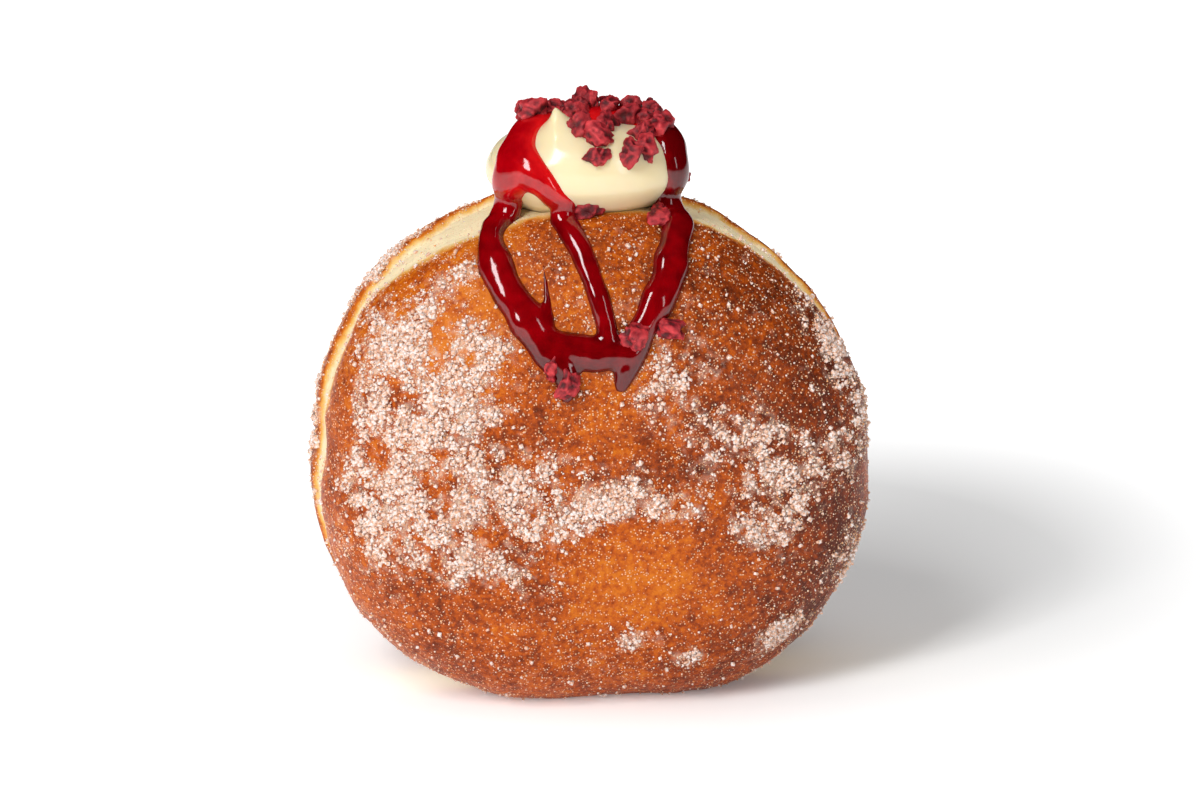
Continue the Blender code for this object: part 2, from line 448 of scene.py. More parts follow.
@dataclass(frozen=True)
class CrustFinish:
    """Fried crust: mottled orange-brown, pale round the rim, hazed with fine sugar, with painted glints and
    painted shade in its colour.
    """

    deep: Colour = (0.09, 0.011, 0.001)
    brown: Colour = (0.25, 0.034, 0.001)
    orange: Colour = (0.48, 0.080, 0.001)
    gold: Colour = (0.64, 0.165, 0.005)
    straw: Colour = (0.82, 0.46, 0.11)
    cream: Colour = (0.92, 0.76, 0.48)
    sugar: Colour = (0.88, 0.68, 0.54)
    # colour of the painted glints: painted highlights for specular glints on the pores, partly also fine
    # sugar dust
    painted_glint_and_dust: Colour = (1.0, 0.66, 0.40)
    # widths of the pattern's cells
    glint: float = 0.42 * MM
    fine_speck: float = 0.34 * MM
    speck: float = 0.62 * MM
    roughness: float = 0.36

    def material(self) -> bpy.types.Material:
        """Builds the crust's material.

        Returns:
            The material, which reads the crust's toast, pale and frost attributes.
        """
        sheet = NodeSheet("crust")
        # The toast attribute holds fry colour plus painted shade on the right and painted light at the
        # upper left.
        toast_and_shade = sheet.attribute("toast_and_shade")
        mottle = sheet.noise(4.2 * MM, 5.0, 0.65)
        speckle = sheet.noise(0.9 * MM, 4.0, 0.7)
        tone = sheet.maths("ADD", toast_and_shade, sheet.stretch(mottle, 0.28, 0.72, -0.24, 0.24))
        tone = sheet.maths("ADD", tone, sheet.stretch(speckle, 0.34, 0.66, -0.30, 0.30))
        shades = ((0.0, self.gold), (0.34, self.orange), (0.64, self.brown), (1.0, self.deep))
        crust = sheet.ramp(tone, *shades)
        pale = sheet.attribute("pale")
        edge = sheet.maths("ADD", pale, sheet.stretch(sheet.noise(1.6 * MM, 3.0), 0.3, 0.7, -0.10, 0.10))
        shades = ((0.0, self.orange), (0.26, self.gold), (0.52, self.straw), (0.85, self.cream))
        rim = sheet.ramp(edge, *shades)
        colour = sheet.blend(sheet.stretch(edge, 0.06, 0.30), crust, rim)
        frost = sheet.attribute("frost")
        scatter = sheet.stretch(sheet.noise(1.5 * MM, 4.0, 0.65), 0.40, 0.62, 0.35, 1.2)
        amount = sheet.maths("MULTIPLY", frost, scatter)
        specks = None
        for size, most in ((self.fine_speck, 0.52), (self.speck, 0.44)):
            reach = sheet.stretch(amount, 0.0, 1.0, 0.10, most)
            inside = sheet.maths("SUBTRACT", reach, sheet.cells(size))
            layer = sheet.stretch(inside, 0.0, 0.10, 0.0, 0.62)
            specks = layer if specks is None else sheet.maths("MAXIMUM", specks, layer)
        # Painted highlights: tiny bright glints painted into the base colour, standing in for specular
        # glints on the crust's pores, partly also fine sugar dust.
        painted_glints_and_dust = sheet.stretch(sheet.cells(self.glint), 0.36, 0.22, 0.0, 0.85)
        lit = sheet.stretch(sheet.cells(self.glint, "Color"), 0.44, 0.62)
        painted_glints_and_dust = sheet.maths("MULTIPLY", painted_glints_and_dust, lit)
        colour = sheet.blend(painted_glints_and_dust, colour, self.painted_glint_and_dust)
        haze = sheet.stretch(amount, 0.12, 0.85, 0.0, 0.68)
        colour = sheet.blend(haze, colour, self.sugar)
        colour = sheet.blend(specks, colour, self.sugar)
        sheet.put("Base Color", colour)
        rough = sheet.stretch(edge, 0.0, 1.0, self.roughness, 0.62)
        sheet.put("Roughness", sheet.maths("ADD", rough, sheet.stretch(speckle, 0.3, 0.7, -0.07, 0.07)))
        pores = sheet.bump(sheet.noise(0.8 * MM, 4.0, 0.7), 0.30 * MM, 0.85)
        raised = sheet.maths("MAXIMUM", specks, painted_glints_and_dust)
        sheet.put("Normal", sheet.bump(raised, 0.14 * MM, 0.9, pores))
        sheet.put("Subsurface Weight", 0.10)
        sheet.put("Subsurface Radius", (1.0, 0.45, 0.2))
        sheet.put("Subsurface Scale", 1.2 * MM)
        sheet.put("Specular IOR Level", 0.18)
        return sheet.material


@dataclass(frozen=True)
class CustardFinish:
    """Piped custard: pale cream yellow with a soft sheen."""

    light: Colour = (0.86, 0.75, 0.50)
    warm: Colour = (0.81, 0.66, 0.37)

    def material(self) -> bpy.types.Material:
        """Builds the custard's material.

        Returns:
            The material.
        """
        sheet = NodeSheet("custard")
        sheet.put("Base Color", sheet.blend(sheet.noise(7.0 * MM, 2.0), self.light, self.warm))
        sheet.put("Roughness", 0.22)
        sheet.put("Normal", sheet.bump(sheet.noise(3.5 * MM, 1.0), 0.15 * MM, 0.25))
        sheet.put("Subsurface Weight", 0.35)
        sheet.put("Subsurface Radius", (1.0, 0.7, 0.35))
        sheet.put("Subsurface Scale", 2.5 * MM)
        sheet.put("Coat Weight", 0.25)
        sheet.put("Coat Roughness", 0.12)
        return sheet.material


@dataclass(frozen=True)
class JellyFinish:
    """Clear red jelly coloured by its depth attribute, a mix of depth with painted light and shade: over
    the custard dark where it is deep and bright where it thins out, with painted shade on the right; over
    the dough lighter in the thick middle and darker at the thin edges, painted as light through the jelly.
    """

    thin: Colour = (0.66, 0.006, 0.008)
    middle: Colour = (0.36, 0.0, 0.003)
    deep: Colour = (0.10, 0.0, 0.001)

    def material(self) -> bpy.types.Material:
        """Builds the jelly's material.

        Returns:
            The material, which reads the jelly's depth attribute, a mix of depth with painted light and
            shade.
        """
        sheet = NodeSheet("jelly")
        mottle = sheet.stretch(sheet.noise(2.4 * MM, 3.0), 0.3, 0.7, -0.12, 0.12)
        # The depth attribute mixes depth with painted light and shade.
        depth = sheet.maths("ADD", sheet.attribute("depth"), mottle)
        colour = sheet.ramp(depth, (0.10, self.thin), (0.42, self.middle), (0.95, self.deep))
        sheet.put("Base Color", colour)
        sheet.put("Roughness", 0.09)
        sheet.put("IOR", 1.55)
        sheet.put("Normal", sheet.bump(sheet.noise(3.2 * MM, 1.0), 0.16 * MM, 0.20))
        sheet.put("Subsurface Weight", 0.18)
        sheet.put("Subsurface Radius", (1.0, 0.10, 0.06))
        sheet.put("Subsurface Scale", 1.6 * MM)
        return sheet.material


@dataclass(frozen=True)
class CrumbFinish:
    """Dried-berry crumb: dull crimson, darker in its pits and pinker on its ridges, partly its own colour
    and partly painted shade and painted highlight.
    """

    pit_and_shade: Colour = (0.085, 0.0, 0.003)
    flesh: Colour = (0.27, 0.001, 0.009)
    ridge: Colour = (0.76, 0.045, 0.055)

    def material(self) -> bpy.types.Material:
        """Builds the crumbs' material.

        Returns:
            The material, which reads the crumbs' relief and shade attributes.
        """
        sheet = NodeSheet("berry_crumb")
        mottle = sheet.stretch(sheet.noise(0.5 * MM, 3.0), 0.3, 0.7, -0.07, 0.07)
        relief = sheet.maths("ADD", sheet.attribute("relief"), mottle)
        # Painted shade and highlight: the relief ramp darkens the pits and lightens the ridges, on top of
        # the berry's own colour.
        colour = sheet.ramp(relief, (0.0, self.pit_and_shade), (0.26, self.flesh), (0.95, self.ridge))
        shade = sheet.stretch(sheet.attribute("shade"), 0.0, 1.0, 0.0, 0.65)
        sheet.put("Base Color", sheet.blend(shade, colour, self.pit_and_shade))
        sheet.put("Roughness", 0.55)
        sheet.put("Normal", sheet.bump(sheet.noise(0.35 * MM, 3.0, 0.7), 0.20 * MM, 0.8))
        sheet.put("Subsurface Weight", 0.08)
        sheet.put("Subsurface Radius", (1.0, 0.15, 0.15))
        sheet.put("Subsurface Scale", 0.8 * MM)
        return sheet.material


@dataclass(frozen=True)
class SugarFinish:
    """Sugar crystals: clear to frosted white, with bright facets."""

    name: str = "sugar"
    clear: Colour = (0.82, 0.47, 0.31)
    frosted: Colour = (0.93, 0.84, 0.80)

    def material(self) -> bpy.types.Material:
        """Builds the sugar's material.

        Returns:
            The material.
        """
        sheet = NodeSheet(self.name)
        share = sheet.stretch(sheet.noise(0.45 * MM, 1.0), 0.40, 0.62)
        sheet.put("Base Color", sheet.blend(share, self.clear, self.frosted))
        sheet.put("Roughness", 0.2)
        return sheet.material


FINE_SUGAR = SugarFinish(name="fine_sugar", clear=(0.88, 0.42, 0.17), frosted=(0.97, 0.84, 0.70))


# ---------------------------------------------------------------- dough


@dataclass(frozen=True)
class DoughForm:
    """The dough's overall form: a cushion, round from the front, that sags over the patch it stands on."""

    centre_x: float = -0.12 * MM
    centre_z: float = 39.6 * MM
    half_width: float = 45.3 * MM
    half_thickness: float = 25.0 * MM
    reach_up: float = 42.6 * MM
    reach_down: float = 41.5 * MM
    outline_power_up: float = 2.0
    outline_power_down: float = 2.4
    section_power_up: float = 2.4
    section_power_down: float = 3.2
    # (angle up from +X and half spread, in degrees; share of the radius)
    bulges: tuple[tuple[float, float, float], ...] = (
        (42.0, 24.0, -0.026),
        (138.0, 18.0, 0.014),
        (165.0, 12.0, -0.008),
        (-132.0, 20.0, 0.012),
        (-48.0, 24.0, 0.026),
        (-62.0, 13.0, 0.028),
        (-132.0, 16.0, -0.010),
        (-113.0, 9.0, 0.016),
        (177.0, 7.0, -0.022),
        (-8.0, 16.0, 0.006),
        (20.0, 16.0, 0.016),
        (-21.0, 12.0, 0.010),
    )

    def outline(self, around: np.ndarray) -> np.ndarray:
        """Distance from the middle to the edge of the front outline.

        Args:
            around: Angles up from +X, in radians.

        Returns:
            The distances, in metres.
        """
        up = np.sin(around) > 0.0
        power = np.where(up, self.outline_power_up, self.outline_power_down)
        reach = np.where(up, self.reach_up, self.reach_down)
        share_x = np.abs(np.cos(around)) / self.half_width
        share_z = np.abs(np.sin(around)) / reach
        radius = (share_x**power + share_z**power) ** (-1.0 / power)
        degrees = np.degrees(around)
        for at, spread, share in self.bulges:
            aside = (degrees - at + 180.0) % 360.0 - 180.0
            radius = radius * (1.0 + share * bell(aside, spread))
        return radius

    def surface(self, directions: np.ndarray) -> tuple[np.ndarray, np.ndarray]:
        """Where the plain cushion lies, seen from its middle.

        Args:
            directions: Unit vectors, one row each, with the front pole at -Y.

        Returns:
            The places, and the angle of each around the middle, in radians.
        """
        around = np.arctan2(directions[:, 2], directions[:, 0])
        low = 0.5 - 0.5 * np.sin(around)
        power = self.section_power_up + (self.section_power_down - self.section_power_up) * low
        across = np.hypot(directions[:, 0], directions[:, 2]) ** (2.0 / power)
        deep = directions[:, 1]
        y = np.sign(deep) * self.half_thickness * np.abs(deep) ** (2.0 / power)
        radius = self.outline(around) * across
        x = self.centre_x + radius * np.cos(around)
        z = self.centre_z + radius * np.sin(around)
        return np.stack([x, y, z], axis=1), around


class Edge(Enum):
    """The two edges of the pale rim: (angle in degrees, Y in millimetres) pairs round the dough."""

    FRONT = (
        (-30.0, -6.5), (0.0, -6.6), (24.0, -7.2), (45.0, -6.7), (67.0, -8.1), (90.0, -9.6), (116.0, -9.2),
        (124.0, -8.5), (133.0, -7.4), (141.0, -5.6), (147.0, -4.3), (153.0, -5.6), (162.0, -7.0),
        (173.0, -7.6), (200.0, -6.5), (240.0, -6.0), (300.0, -6.2),
    )
    BACK = (
        (-30.0, 4.0), (0.0, 4.2), (30.0, 4.6), (60.0, 4.8), (90.0, 7.0), (112.0, 6.0), (122.0, 4.2),
        (128.0, 1.6), (146.0, 1.6), (152.0, 0.8), (170.0, 0.7), (200.0, 2.0), (240.0, 4.0), (300.0, 4.0),
    )

    def at(self, around: np.ndarray) -> np.ndarray:
        """The edge's Y in metres at each angle in radians.

        Args:
            around: The angles.

        Returns:
            The Y values.
        """
        angles, depths = zip(*self.value)
        return np.interp(np.degrees(around), angles, depths, period=360.0) * MM


@dataclass(frozen=True)
class SugarPatch:
    """A patch on the front where sugar clings: middle, half sizes and slant in millimetres and degrees."""

    x: float
    z: float
    half_x: float
    half_z: float
    amount: float
    slant: float = 0.0

    def share(self, points: np.ndarray) -> np.ndarray:
        """How much this patch adds at each point.

        Args:
            points: Places on the crust, one row each.

        Returns:
            One amount per point.
        """
        turn = math.radians(self.slant)
        dx = points[:, 0] / MM - self.x
        dz = points[:, 2] / MM - self.z
        along = dx * math.cos(turn) + dz * math.sin(turn)
        aside = dz * math.cos(turn) - dx * math.sin(turn)
        return self.amount * bell(np.hypot(along / self.half_x, aside / self.half_z), 1.0)


SUGAR_PATCHES = (
    SugarPatch(-28.8, 63.2, 4.5, 3.5, 0.55, 40.0),
    SugarPatch(-33.4, 59.6, 4.0, 4.0, 0.5, 40.0),
    SugarPatch(-27.3, 53.2, 5.0, 4.0, 0.9, 20.0),
    SugarPatch(-20.4, 61.0, 4.0, 4.5, 0.45, 0.0),
    SugarPatch(-22.7, 71.9, 4.0, 3.0, 0.35, 30.0),
    SugarPatch(-37.5, 51.7, 2.6, 4.0, 0.5, 0.0),
    SugarPatch(-20.4, 50.7, 4.5, 4.0, 0.65, 0.0),
    SugarPatch(-31.8, 48.4, 5.0, 4.5, 0.6, 0.0),
    SugarPatch(-26.0, 44.0, 9.0, 4.0, 0.5, 0.0),
    SugarPatch(-39.0, 40.9, 3.5, 5.0, 0.5, 0.0),
    SugarPatch(-34.0, 38.7, 5.0, 4.0, 0.55, 0.0),
    SugarPatch(-18.1, 38.4, 5.5, 4.0, 0.7, -20.0),
    SugarPatch(-25.8, 34.9, 5.5, 4.0, 0.65, -10.0),
    SugarPatch(-7.4, 33.8, 6.5, 3.2, 0.95, 12.0),
    SugarPatch(0.3, 36.9, 5.5, 2.4, 0.7, 15.0),
    SugarPatch(9.4, 35.4, 5.0, 3.0, 0.35, 0.0),
    SugarPatch(-21.2, 26.1, 4.4, 3.0, 0.95, 10.0),
    SugarPatch(-31.8, 27.8, 5.0, 3.5, 0.5, 0.0),
    SugarPatch(-12.0, 24.5, 4.5, 3.0, 0.3, 0.0),
    SugarPatch(29.0, 32.5, 4.0, 6.0, 0.42, -20.0),
    SugarPatch(23.8, 34.6, 4.0, 6.0, 0.55, -20.0),
    SugarPatch(29.0, 40.7, 5.0, 4.0, 0.42, 0.0),
    SugarPatch(20.0, 45.0, 6.0, 5.0, 0.42, 0.0),
    SugarPatch(35.2, 62.0, 2.0, 4.5, 0.6, 20.0),
    SugarPatch(38.0, 55.5, 2.0, 4.5, 0.5, 10.0),
    SugarPatch(41.2, 45.8, 2.2, 5.0, 0.6, 0.0),
    SugarPatch(37.0, 40.9, 3.5, 4.0, 0.5, 0.0),
    SugarPatch(29.1, 11.6, 3.6, 2.4, 0.95, 30.0),
    SugarPatch(4.8, 12.5, 2.4, 1.6, 0.5, 0.0),
    SugarPatch(13.0, 9.0, 2.5, 1.5, 0.4, 0.0),
    SugarPatch(40.0, 21.0, 3.0, 5.0, 0.35, 0.0),
    SugarPatch(12.0, 53.0, 8.0, 4.0, 0.28, 0.0),
    SugarPatch(-9.0, 43.0, 6.0, 4.0, 0.3, 0.0),
    SugarPatch(-36.0, 33.0, 4.0, 5.0, 0.4, 0.0),
    SugarPatch(8.0, 62.0, 6.0, 5.0, 0.25, 0.0),
    SugarPatch(6.5, 24.0, 11.0, 6.0, -0.6, -10.0),
    SugarPatch(-5.0, 47.0, 6.0, 4.0, -0.3, 0.0),
    SugarPatch(-41.5, 51.0, 2.6, 12.0, -0.5, 0.0),
)


@dataclass
class Dough:
    """The fried dough: its cushion form, recessed pale rim, uneven crust and the pocket for the custard."""

    form: DoughForm = DoughForm()
    cuts: int = 118
    overall_shrink: float = 0.35 * MM
    rim_recess: float = 1.25 * MM
    crease_depth: float = 0.55 * MM
    crease_half_width: float = 0.8 * MM
    arc_middle: tuple[float, float] = (4.0 * MM, 33.5 * MM)
    arc_radius: float = 12.6 * MM
    arc_depth: float = 0.60 * MM
    arc_half_width: float = 0.75 * MM
    arc_half_spread: float = 58.0
    frost_limit: float = 0.75

    def build(self, custard_room: bpy.types.Object) -> bpy.types.Object:
        """Makes the dough's piece.

        Args:
            custard_room: The closed shape that is cut out of the dough for the custard.

        Returns:
            The finished piece.
        """
        shape = bmesh.new()
        bmesh.ops.create_cube(shape, size=2.0)
        bmesh.ops.subdivide_edges(shape, edges=shape.edges, cuts=self.cuts, use_grid_fill=True)
        piece = object_from("dough_crust", shape)
        corners = mesh_points(piece.data)
        directions = np.tan(corners * math.pi / 4.0)
        directions /= np.linalg.norm(directions, axis=1, keepdims=True)
        points, around = self.form.surface(directions)
        set_mesh_points(piece.data, points)
        outwards = mesh_normals(piece.data)
        points = points + outwards * self.relief(points, around)[:, None]
        points[:, 2] = np.maximum(points[:, 2], 0.0)
        set_mesh_points(piece.data, points)
        pocket = piece.modifiers.new("custard pocket", "BOOLEAN")
        pocket.operation = "DIFFERENCE"
        pocket.object = custard_room
        bake_modifiers(piece)
        self.mark(piece.data)
        piece.data.materials.clear()
        piece.data.materials.append(CrustFinish().material())
        return piece

    def rim(self, points: np.ndarray, around: np.ndarray, soft: float) -> np.ndarray:
        """How far inside the pale rim each point is, from 0 on the crust to 1.

        Args:
            points: Places on the dough.
            around: Their angles round the middle, in radians.
            soft: Width over which the crust gives way to the rim, in metres.

        Returns:
            One share per point.
        """
        wander = ripple(points, 6.0 * MM, 3.1, 3) * 0.7 * MM
        y = points[:, 1] + wander
        front = smooth_share(y - Edge.FRONT.at(around), -0.8 * soft, soft)
        back = smooth_share(Edge.BACK.at(around) - y, -0.25 * soft, 0.6 * soft)
        return front * back

    def relief(self, points: np.ndarray, around: np.ndarray) -> np.ndarray:
        """How far each point of the plain cushion stands out or in.

        Args:
            points: Places on the plain cushion, one row each.
            around: Their angles round the middle, in radians.

        Returns:
            One height per point, in metres.
        """
        inside = self.rim(points, around, 3.4 * MM)
        height = -self.overall_shrink - self.rim_recess * inside
        crease_y = Edge.BACK.at(around) - 1.1 * MM + ripple(points, 7.0 * MM, 8.3) * 0.4 * MM
        height -= self.crease_depth * bell(points[:, 1] - crease_y, self.crease_half_width)
        height += 0.55 * MM * ripple(points, 17.0 * MM, 1.3, 2)
        height += 0.16 * MM * ripple(points, 4.5 * MM, 5.7, 2)
        height += 0.055 * MM * ripple(points, 1.5 * MM, 9.1)
        stretched = points * np.array([1.0, 3.0, 1.0])
        height += 0.22 * MM * inside * ripple(stretched, 5.0 * MM, 4.4, 2)
        dx = points[:, 0] - self.arc_middle[0]
        dz = points[:, 2] - self.arc_middle[1]
        on_front = points[:, 1] < 0.0
        off_arc = np.hypot(dx, dz) - self.arc_radius + ripple(points, 5.0 * MM, 2.2) * 0.6 * MM
        along = bell(np.degrees(np.arctan2(dx, dz)), self.arc_half_spread)
        height -= self.arc_depth * bell(off_arc, self.arc_half_width) * along * on_front
        return height

    def mark(self, mesh: bpy.types.Mesh) -> None:
        """Stores how pale, how toasted and how sugary each vertex is; the toasted share also carries
        painted shade and light.

        Args:
            mesh: The dough's mesh.
        """
        points = mesh_points(mesh)
        dx = points[:, 0] - self.form.centre_x
        dz = points[:, 2] - self.form.centre_z
        around = np.arctan2(dz, dx)
        pale = self.rim(points, around, 3.0 * MM)
        in_pocket = (np.abs(points[:, 1]) < 13.0 * MM) * (np.hypot(dx, dz) < 33.0 * MM)
        set_attribute(mesh, "pale", np.where(in_pocket, 1.0, pale))
        set_attribute(mesh, "toast_and_shade", self.toast_and_shade(points, around))
        set_attribute(mesh, "frost", self.frost(points))

    def toast_and_shade(self, points: np.ndarray, around: np.ndarray) -> np.ndarray:
        """How dark the crust is fried, with painted light and shade: golden low in the middle and at the
        upper left, dark on the right; the darker right and the lighter upper left are partly real browning
        and partly painted shade and light from the key light's side.

        Args:
            points: Places on the crust, one row each.
            around: Their angles round the middle, in radians.

        Returns:
            One share per point, from 0 for gold to 1 for dark brown.
        """
        toast_and_shade = 0.46 + 0.17 * ripple(points, 13.0 * MM, 6.6, 3)
        # Darker towards the right: partly real browning, partly painted shade away from the key light.
        toast_and_shade += 0.34 * smooth_share(points[:, 0], 8.0 * MM, 38.0 * MM)
        off_spot = np.hypot((points[:, 0] - 6.0 * MM) / 1.7, points[:, 2] - 23.0 * MM)
        toast_and_shade -= 0.20 * bell(off_spot, 6.0 * MM)
        # Lighter at the upper left: partly real golden frying, partly painted light on the key light's
        # side.
        left = smooth_share(-points[:, 0], 8.0 * MM, 26.0 * MM)
        toast_and_shade -= 0.16 * left * smooth_share(points[:, 2], 40.0 * MM, 58.0 * MM)
        high = smooth_share(points[:, 2], 50.0 * MM, 62.0 * MM)
        toast_and_shade -= 0.22 * bell(points[:, 0] + 20.0 * MM, 14.0 * MM) * high
        toast_and_shade += 0.06 * smooth_share(points[:, 2], 58.0 * MM, 72.0 * MM)
        back_crust = smooth_share(points[:, 1] - Edge.BACK.at(around), -0.5 * MM, 1.0 * MM)
        back_rim = back_crust * smooth_share(-points[:, 1], -14.0 * MM, -6.0 * MM)
        toast_and_shade += 0.16 * back_rim
        return np.clip(toast_and_shade, 0.0, 1.0)

    def frost(self, points: np.ndarray) -> np.ndarray:
        """How much sugar clings at each point, from 0 to 1.

        Args:
            points: Places on the crust, one row each.

        Returns:
            One share per point.
        """
        front = smooth_share(-points[:, 1], 2.0 * MM, 9.0 * MM)
        patches = sum(patch.share(points) for patch in SUGAR_PATCHES)
        patches = np.minimum(patches, self.frost_limit * np.tanh(patches / self.frost_limit))
        blotch = ripple(points, 5.5 * MM, 12.0, 4)
        clots = ripple(points, 1.9 * MM, 14.0, 2)
        plain = 0.12 + 0.34 * ripple(points, 16.0 * MM, 21.0, 2)
        amount = front * (0.08 + patches) + (1.0 - front) * plain
        amount = amount + (0.52 * blotch + 0.62 * clots) * smooth_share(amount, -0.1, 0.5)
        around = np.arctan2(points[:, 2] - self.form.centre_z, points[:, 0] - self.form.centre_x)
        bare = self.rim(points, around, 2.0 * MM)
        return np.clip(amount, 0.0, 1.0) * (1.0 - 0.94 * bare)


# ---------------------------------------------------------------- custard


@dataclass
class Custard:
    """The filling, its neck through the mouth of the dough, and the dollop with its pulled-up peak."""

    # (height, half width along X, half width along Y) in millimetres, foot to top
    profile: tuple[tuple[float, float, float], ...] = (
        (24.0, 0.0, 0.0),
        (27.0, 11.0, 6.0),
        (37.0, 19.0, 10.0),
        (50.0, 19.5, 10.5),
        (62.0, 14.0, 8.5),
        (71.0, 10.0, 7.0),
        (77.5, 10.5, 7.5),
        (80.5, 13.4, 10.8),
        (83.5, 15.2, 13.0),
        (87.2, 14.8, 12.8),
        (89.8, 12.8, 11.2),
        (91.4, 9.2, 8.0),
        (92.1, 0.0, 0.0),
    )
    steps: int = 12
    segments: int = 112
    rings: int = 128
    peak_x: float = -6.2 * MM
    peak_y: float = -5.8 * MM
    peak_height: float = 4.4 * MM
    peak_from: float = 84.5 * MM
    left_bulge: float = 1.1 * MM
    room: float = 0.12 * MM

    def build(self, name: str, swell: float) -> bpy.types.Object:
        """Makes the custard's shape.

        Args:
            name: Name of the object.
            swell: How far its surface is moved outwards, in metres.

        Returns:
            The object.
        """
        shape = bmesh.new()
        bmesh.ops.create_uvsphere(shape, u_segments=self.segments, v_segments=self.rings, radius=1.0)
        piece = object_from(name, shape)
        ball = mesh_points(piece.data)
        rows = smooth_path(np.array(self.profile) * MM, self.steps)
        length = np.concatenate([[0.0], np.cumsum(np.linalg.norm(np.diff(rows, axis=0), axis=1))])
        share = 0.5 + np.arcsin(np.clip(ball[:, 2], -1.0, 1.0)) / math.pi
        height, reach_x, reach_y = (np.interp(share * length[-1], length, rows[:, i]) for i in range(3))
        around = np.arctan2(ball[:, 1], ball[:, 0])
        reach_x = np.maximum(reach_x, 0.0)
        reach_y = np.maximum(reach_y, 0.0)
        points = np.stack([reach_x * np.cos(around), reach_y * np.sin(around), height], axis=1)
        points[:, 2] += self.peak(points)
        dollop = smooth_share(points[:, 2], 80.0 * MM, 84.0 * MM)
        set_mesh_points(piece.data, points)
        outwards = mesh_normals(piece.data)
        level = bell((points[:, 2] - 84.5 * MM) / (5.0 * MM), 1.0)
        left = level * smooth_share(-points[:, 0], 4.0 * MM, 15.0 * MM)
        points[:, 0] -= self.left_bulge * left
        fold = ripple(points * np.array([0.6, 0.6, 1.6]), 7.0 * MM, 31.0, 2)
        points = points + outwards * (swell + 0.30 * MM * fold * dollop)[:, None]
        set_mesh_points(piece.data, points)
        return piece

    def peak(self, points: np.ndarray) -> np.ndarray:
        """How far the pulled-up peak lifts each point: steep on its left, drawn out to the right.

        Args:
            points: Places on the custard, one row each.

        Returns:
            One height per point, in metres.
        """
        dx = points[:, 0] - self.peak_x
        dy = points[:, 1] - self.peak_y
        spread_x = np.where(dx < 0.0, 1.4 * MM, 3.6 * MM)
        away = np.hypot(dx / spread_x, dy / (2.6 * MM))
        lift = self.peak_height * np.exp(-(away**1.15))
        return np.where(points[:, 2] > self.peak_from, lift, 0.0)


# ---------------------------------------------------------------- jelly


